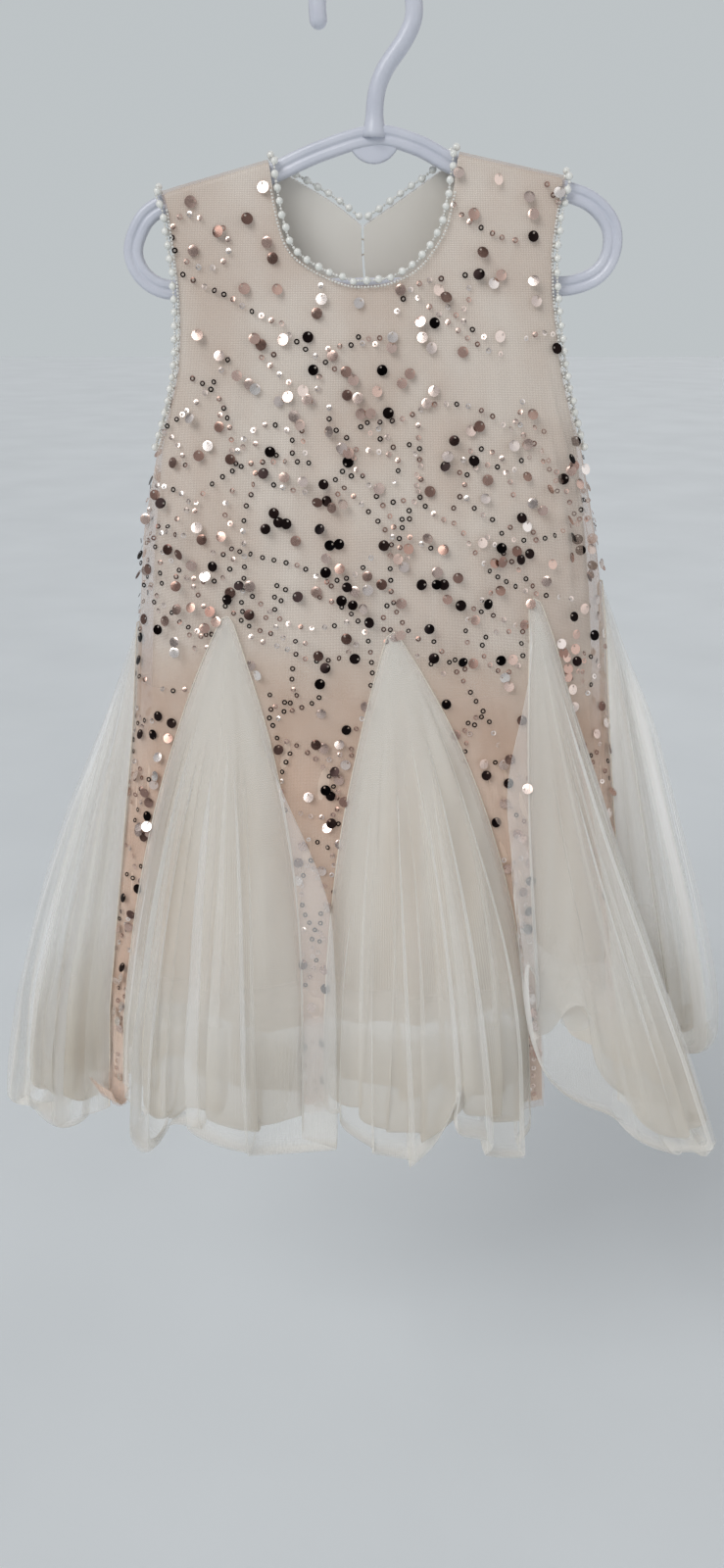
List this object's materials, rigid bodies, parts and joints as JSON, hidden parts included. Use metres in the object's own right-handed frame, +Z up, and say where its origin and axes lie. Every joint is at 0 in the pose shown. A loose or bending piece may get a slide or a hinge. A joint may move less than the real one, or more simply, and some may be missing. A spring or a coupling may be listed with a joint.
{
  "type": "gala dress on a hanger",
  "caption": "Child's sleeveless party dress in sequined net with pearl edging and puffed tulle godets, hung on a moulded plastic hanger.",
  "frame": {"origin": "inside top of the hanger's hook, where a rail or handle carries it", "axes": "+Z up, the front of the dress faces -Y, +X to the right of someone looking at its front"},
  "size_m": [0.5072, 0.2235, 0.7467],
  "materials": {
    "hanger": "smooth satin white plastic",
    "net": "nude net over a cream lining, strewn with rose gold mirror sequins",
    "lining": "plain cream lining, dull satin",
    "tulle": "soft ivory tulle in several sheer layers",
    "pearl": "pearly lustre on plastic beads",
    "sequin": "rose gold mirror film"
  },
  "bodies": {
    "root": {"hanger_frame": "hanger", "hanger_bar": "hanger", "front_body": "net", "back_body_right": "net", "back_body_left": "net", "lining_front": "lining", "lining_back": "lining", "neck_trim_front": "pearl", "neck_trim_back_left": "pearl", "neck_trim_back_right": "pearl", "armhole_trim_left": "pearl", "armhole_trim_right": "pearl", "back_button": "pearl", "godet_side_left": "tulle", "godet_front_left": "tulle", "godet_front_centre": "tulle", "godet_front_right": "tulle", "godet_side_right": "tulle", "godet_back_right": "tulle", "godet_back_centre": "tulle", "godet_back_left": "tulle"}
  },
  "joints": []
}
